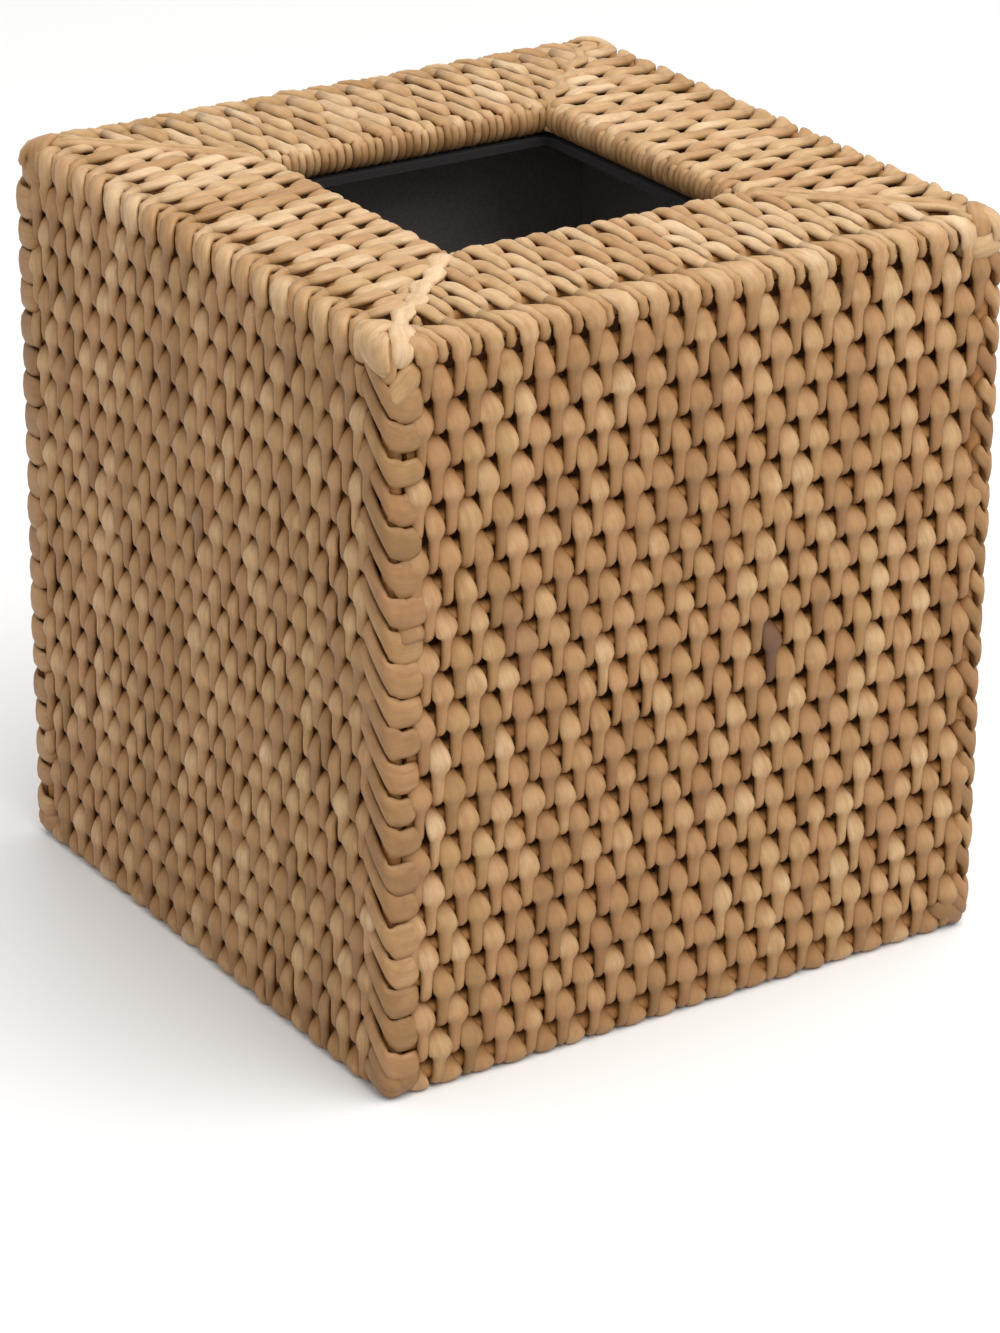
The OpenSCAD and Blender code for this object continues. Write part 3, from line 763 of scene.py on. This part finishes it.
def fold(table, dice, faded_and_lit, top):
    """Rings and values of a ribbon given by one of the knob tables, for the front right corner."""
    rows = smooth(table, FOLD_RINGS)
    height = TALL - rows[:, 2] if top else rows[:, 2]
    path = np.stack([WIDE / 2 - rows[:, 0], -DEEP / 2 + rows[:, 1], height], axis=-1)
    out = np.stack([rows[:, 3], -rows[:, 4], rows[:, 5]], axis=-1)
    rings, values = ribbon(path, out, rows[:, 6], rows[:, 7], np.full(FOLD_RINGS, 0.9), dice, faded_and_lit)
    rings[..., 2] = np.maximum(rings[..., 2], 0.05)
    return rings, values


# Each corner's ribbons and how pale they are, partly as painted top light, and how far its knob is set in
# from the two planes.
PLAIN_KNOB = [(level_fold, 0.55), (over_fold, 0.8), (cap_fold, 0.8)]
KNOBS = {
    0: PLAIN_KNOB,
    1: PLAIN_KNOB,
    2: [(level_fold, 0.2), (over_fold, 0.35), (cap_fold, 0.3)],
    3: [(low_leaf, 0.45), (tongue, 0.5), (left_lobe, 1.4), (right_lobe, 1.4)],
}
FOOT_KNOB = [(foot_fold, 0.0), (foot_twist, 0.1)]
TUCK = {0: 0.0, 1: 0.0, 2: 0.6, 3: 0.0}
for corner, name in enumerate(CORNERS):
    dice = np.random.default_rng(400 + corner)
    pairs = [fold(table, dice, faded_and_lit, True) for table, faded_and_lit in KNOBS[corner]]
    tuck = np.array([-TUCK[corner], TUCK[corner], 0])
    pairs = [(to_corner(rings + tuck, corner), values) for rings, values in pairs]
    strands_to_piece(f"top_knob_{name}", pairs, f"top_knot_{name}", rattan)
    pairs = [fold(table, dice, faded_and_lit, False) for table, faded_and_lit in FOOT_KNOB]
    pairs = [(to_corner(rings, corner), values) for rings, values in pairs]
    strands_to_piece(f"foot_knob_{name}", pairs, f"bottom_knot_{name}", rattan_foot)

# %% [markdown]
# ## Seams of the top
#
# Strands cover the diagonal where two borders meet. They run from the knob to the corner of the opening
# and turn down over the rim. The near left one is a lumpy rope. Two of the others are pairs with a dark
# groove between them, and the far right one runs in a zigzag.

# %% Lay the seams
# Offset across the seam, width, size of the lumps, distance between lumps and size of the zigzag, in mm.
SEAMS = {
    0: [(-1.15, 2.1, 0.06, 9.0, 0.1), (1.15, 2.1, 0.06, 7.5, 0.1)],
    1: [(0.0, 2.9, 0.12, 3.6, 0.7)],
    2: [(-1.05, 2.0, 0.06, 9.0, 0.1), (1.05, 2.0, 0.06, 8.0, 0.1)],
    3: [(0.0, 3.8, 0.20, 5.2, 0.3)],
}
# Where a seam starts from the corner, its rings up to the rim, and the radius it turns down on.
SEAM_START, SEAM_RINGS, SEAM_TURN = 6.0, 70, 3.1
for corner, name in enumerate(CORNERS):
    dice = np.random.default_rng(500 + corner)
    pairs = []
    for offset, wide, lumps, pitch, zigzag in SEAMS[corner]:
        bend = np.linspace(0, np.pi / 2, 14)[1:]
        straight = np.linspace(SEAM_START, RIM - 0.2, SEAM_RINGS)
        place = np.concatenate([straight, straight[-1] + SEAM_TURN * np.sin(bend)])
        turning = SEAM_TURN * (1 - np.cos(bend)) + 2.5 * bend / bend[-1]
        drop = np.concatenate([np.zeros(SEAM_RINGS), turning])
        wave = np.sin(place * 2 * np.pi / pitch)
        step = zigzag * np.sin(place * np.pi / pitch + 1) + offset * 0.7 + dice.normal(0, 0.04, len(place))
        deep = 0.8 - 1.2 * lumps * wave + np.clip(1 - (place - SEAM_START) / 3, 0, 1) * 0.9
        path = np.stack([WIDE / 2 - place - step, -DEEP / 2 + place - step, TALL - deep - drop], axis=-1)
        slope = np.append(np.zeros(SEAM_RINGS), bend)
        out = np.stack([-np.sin(slope), np.sin(slope), np.cos(slope) + 0.05], axis=-1)
        thick = np.full(len(place), 1.7)
        # The seams lie on the top, so they are pale, partly as painted top light.
        rings, values = ribbon(path, out, wide * (1 + lumps * wave), thick, deep, dice, 0.9)
        pairs.append((to_corner(rings, corner), values))
    strands_to_piece(f"seam_{name}", pairs, f"mitre_binding_{name}", rattan)

# %% [markdown]
# ## Rattan
#
# Split rattan is straw-coloured, glossier on its outer skin than where it is cut, and streaked along
# its length. In the gaps it is painted darker, partly for the dust and old varnish that gather there and
# partly as painted shade. One pattern laid over the whole cover would run across the strands, so the
# look is worked out in each strand's own directions.


# %% Helpers that add shader nodes
def add(tree, kind, *inputs, **settings):
    """A node of that kind. inputs are, in the order of its sockets, values, sockets to link, or None."""
    node = tree.nodes.new("ShaderNode" + kind)
    for key, value in settings.items():
        setattr(node, key, value)
    for socket, value in zip(node.inputs, inputs):
        if isinstance(value, bpy.types.NodeSocket):
            tree.links.new(value, socket)
        elif value is not None:
            socket.default_value = value
    return node


def math(tree, operation, *inputs):
    """Output of a math node."""
    return add(tree, "Math", *inputs, operation=operation).outputs[0]


def weighted(tree, *terms):
    """Sum of (socket, weight) terms."""
    total = 0.0
    for socket, weight in terms:
        total = add(tree, "Math", socket, weight, total, operation="MULTIPLY_ADD").outputs[0]
    return total


def fade(tree, value, low, high):
    """A value that climbs smoothly from 0 at low to 1 at high."""
    node = add(tree, "MapRange", value, low, high, 0.0, 1.0, interpolation_type="SMOOTHSTEP")
    return node.outputs[0]


def mixed(tree, share, first, second):
    """A mix of two colours."""
    node = add(tree, "Mix", data_type="RGBA")
    for socket, value in zip((node.inputs[0], node.inputs[6], node.inputs[7]), (share, first, second)):
        if isinstance(value, bpy.types.NodeSocket):
            tree.links.new(value, socket)
        else:
            socket.default_value = value
    return node.outputs[2]


def ramp(tree, value, stops):
    """A colour read off a list of (place, colour)."""
    node = add(tree, "ValToRGB", value)
    elements = node.color_ramp.elements
    while len(elements) < len(stops):
        elements.new(0.5)
    for element, (place, colour) in zip(elements, stops):
        element.position = place
        element.color = (*colour, 1)
    return node.outputs[0]


print("helpers for shader nodes are ready")

# %% [markdown]
# One group makes the look of a strand. Its grain runs along the strand: noise that is squeezed across
# the strand and drawn out along it. The tone differs from strand to strand, from stitch to stitch and
# in soft patches. The heads of the stitches and the strands on the top are paler than the rest, partly
# as painted light and partly from real fading. The crown is skin, smooth and pale, and the flanks are
# cut, rough and darker, partly with dirt and partly with painted shade. What lies deep is painted dark
# brown, partly as stain and partly as painted shade in the recesses.

# %% The look of split rattan
COLOUR, VALUE = "NodeSocketColor", "NodeSocketFloat"
peel = bpy.data.node_groups.new("split_rattan", "ShaderNodeTree")
peel.interface.new_socket("Shift", in_out="INPUT", socket_type=VALUE)
for label, kind in (("Color", COLOUR), ("Roughness", VALUE), ("Height", VALUE)):
    peel.interface.new_socket(label, in_out="OUTPUT", socket_type=kind)
inside, outside = peel.nodes.new("NodeGroupInput"), peel.nodes.new("NodeGroupOutput")
grain = add(peel, "Attribute", attribute_name="grain").outputs["Vector"]
tone, stitch_tone, deep, stain, faded_and_lit = (
    add(peel, "Attribute", attribute_name=name).outputs["Fac"] for name in TONES)
outward = add(peel, "SeparateXYZ", grain).outputs[1]


def streaks(across, along, detail):
    """Noise drawn out along the strand: so many cycles a mm across and along it."""
    squeezed = add(peel, "VectorMath", grain, (across, across, along), operation="MULTIPLY").outputs[0]
    return add(peel, "TexNoise", squeezed, None, 1.0, detail, 0.55).outputs[0]


broad, fine, patch = streaks(1.0, 0.08, 2.0), streaks(4.5, 0.30, 4.0), streaks(0.35, 0.30, 3.0)
# The pale value is partly painted light: the top and the heads of the stitches are paler, as if lit.
blend = weighted(
    peel, (tone, 0.24), (stitch_tone, 0.36), (patch, 0.56), (faded_and_lit, 0.36), (inside.outputs["Shift"], 1.0))
blend = math(peel, "SUBTRACT", blend, 0.21)
straw = ramp(peel, blend, [
    (0.15, (0.200, 0.098, 0.034)), (0.35, (0.280, 0.146, 0.054)), (0.52, (0.335, 0.184, 0.073)),
    (0.75, (0.445, 0.285, 0.140)), (0.98, (0.560, 0.405, 0.245)),
])
hue = math(peel, "FRACT", math(peel, "MULTIPLY", tone, 7.3))
hues = ramp(peel, hue, [
    (0.10, (0.42, 0.20, 0.11)), (0.35, (0.34, 0.20, 0.09)),
    (0.70, (0.34, 0.20, 0.09)), (0.92, (0.34, 0.25, 0.08)),
])
tinted = mixed(peel, 0.12, straw, hues)
lines = weighted(peel, (broad, 0.55), (fine, 0.45))
dark_lines = math(peel, "MULTIPLY", fade(peel, lines, 0.56, 0.38), 0.28)
lined = mixed(peel, dark_lines, tinted, (0.17, 0.080, 0.028, 1))
# Painted shade, partly dirt: the flanks that face inward and what lies deep in the weave are darkened, as
# shade and as dust and stain.
underside_grime_and_shade = math(peel, "MULTIPLY", fade(peel, outward, 0.1, -0.6), 0.35)
deep_stain_and_shade = math(peel, "MULTIPLY", fade(peel, deep, 0.9, 2.4), 0.80)
grime_and_shade = math(peel, "MAXIMUM", underside_grime_and_shade, deep_stain_and_shade)
# The colour of the painted shade and dirt, a little lighter on the pale strands.
grime_and_shade_colour = mixed(peel, faded_and_lit, (0.230, 0.092, 0.022, 1), (0.260, 0.135, 0.045, 1))
with_grime_and_shade = mixed(peel, grime_and_shade, lined, grime_and_shade_colour)
peel.links.new(mixed(peel, stain, with_grime_and_shade, (0.095, 0.040, 0.018, 1)), outside.inputs["Color"])
peel.links.new(weighted(peel, (fine, 0.22), (grime_and_shade, 0.25), (1.0, 0.38)), outside.inputs["Roughness"])
peel.links.new(lines, outside.inputs["Height"])
print(f"the rattan group has {len(peel.nodes)} nodes")

# %% [markdown]
# The group gives a colour, a roughness and a height. The material turns the height into a fine bump and
# has the shader. The ribbons round the feet are darker than the rest, so they have their own.


# %% The strands' materials
def rattan_material(material, shift):
    """Split rattan, darker for a negative shift."""
    material.use_nodes = True
    tree = material.node_tree
    shader = tree.nodes["Principled BSDF"]
    look = tree.nodes.new("ShaderNodeGroup")
    look.node_tree = peel
    look.inputs["Shift"].default_value = shift
    bump = add(tree, "Bump", 0.35, 0.00012)
    tree.links.new(look.outputs["Height"], bump.inputs["Height"])
    tree.links.new(look.outputs["Color"], shader.inputs["Base Color"])
    tree.links.new(look.outputs["Roughness"], shader.inputs["Roughness"])
    tree.links.new(bump.outputs["Normal"], shader.inputs["Normal"])
    shader.inputs["Specular IOR Level"].default_value = 0.35
    print(material.name, "is ready")


rattan_material(rattan, 0.0)
rattan_material(rattan_foot, -0.16)

# %% [markdown]
# ## The frame and the liner
#
# Through the gaps of the weave only the rods show, a deep orange brown. The boards inside are one dull
# black paper board in two copies: the walls are dark grey, which is painted light on walls that lie in
# shade, and the board under the top is nearly black, which is painted shade where it is lit. Little of
# them is seen, so one function gives them all their finish, each with its own colours and grain.


# %% Finishes of the frame pieces
def frame_material(name, dark, light, rough, scale, stretch, strength):
    """A plain finish: noise in the piece's own coordinates mixes two colours and makes a small bump."""
    material = bpy.data.materials.new(name)
    material.use_nodes = True
    tree = material.node_tree
    shader = tree.nodes["Principled BSDF"]
    place = add(tree, "TexCoord").outputs["Object"]
    squeezed = add(tree, "VectorMath", place, stretch, operation="MULTIPLY").outputs[0]
    noise = add(tree, "TexNoise", squeezed, None, scale, 5.0, 0.6).outputs[0]
    tree.links.new(ramp(tree, noise, [(0.35, dark), (0.65, light)]), shader.inputs["Base Color"])
    bump = add(tree, "Bump", strength, 0.0002)
    tree.links.new(noise, bump.inputs["Height"])
    tree.links.new(bump.outputs["Normal"], shader.inputs["Normal"])
    shader.inputs["Roughness"].default_value = rough
    return material


EVEN, DRAWN = (1, 1, 1), (1, 1, 0.2)
pole = frame_material("rattan_pole", (0.25, 0.100, 0.022), (0.34, 0.150, 0.036), 0.6, 900.0, EVEN, 0.4)
# The liner in two copies: its walls lighter, as painted light where they lie in shade, and the board under
# the top near black, as painted shade where it is lit.
walls_painted_lighter = frame_material("liner_board", (0.160, 0.140, 0.136), (0.220, 0.195, 0.190), 0.95, 1500.0, EVEN, 0.3)
top_painted_darker = frame_material(
    "liner_top_painted_darker", (0.007, 0.006, 0.006), (0.011, 0.009, 0.009), 0.95, 1500.0, EVEN, 0.3)
steel = frame_material("steel_pin", (0.35, 0.34, 0.33), (0.5, 0.49, 0.47), 0.35, 2500.0, DRAWN, 0.1)
steel.node_tree.nodes["Principled BSDF"].inputs["Metallic"].default_value = 1.0
for name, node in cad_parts.items():
    finish = pole
    # Painted light and shade: the board under the top takes the near-black copy, the walls the lighter one.
    if name.startswith("liner"):
        finish = top_painted_darker if name == "liner_top" else walls_painted_lighter
    if name == "frame_pins":
        finish = steel
    node.data.materials.clear()
    node.data.materials.append(finish)
print("poles, liner and pins have their finishes")

# %% [markdown]
# ## Floor and light
#
# The photograph was taken on a white sweep under a large soft light. The light stands overhead, a little
# to the front and to the right, so the left side is in shade.

# %% Floor, light and world
floor_mesh = bpy.data.meshes.new("floor")
floor_mesh.from_pydata([(-3, -3, 0), (3, -3, 0), (3, 3, 0), (-3, 3, 0)], [], [(0, 1, 2, 3)])
floor = bpy.data.objects.new("floor", floor_mesh)
bpy.context.scene.collection.objects.link(floor)
paper = bpy.data.materials.new("white_paper")
paper.use_nodes = True
paper.node_tree.nodes["Principled BSDF"].inputs["Base Color"].default_value = (0.72, 0.72, 0.72, 1)
floor_mesh.materials.append(paper)

world = bpy.data.worlds.new("studio")
bpy.context.scene.world = world
world.use_nodes = True
world.node_tree.nodes["Background"].inputs["Color"].default_value = (1, 1, 1, 1)
world.node_tree.nodes["Background"].inputs["Strength"].default_value = 0.95


def softbox(name, place, target, size, power, colour):
    """A square area light at place that points at target, in metres and watts."""
    data = bpy.data.lights.new(name, "AREA")
    data.size, data.energy, data.color = size, power, colour
    light = bpy.data.objects.new(name, data)
    light.location = place
    light.rotation_euler = (Vector(target) - Vector(place)).to_track_quat("-Z", "Y").to_euler()
    bpy.context.scene.collection.objects.link(light)


softbox("key", (0.18, -0.42, 1.0), (0, 0, 0.07), 1.2, 15, (1.0, 0.98, 0.95))
print("one softbox and a white world")
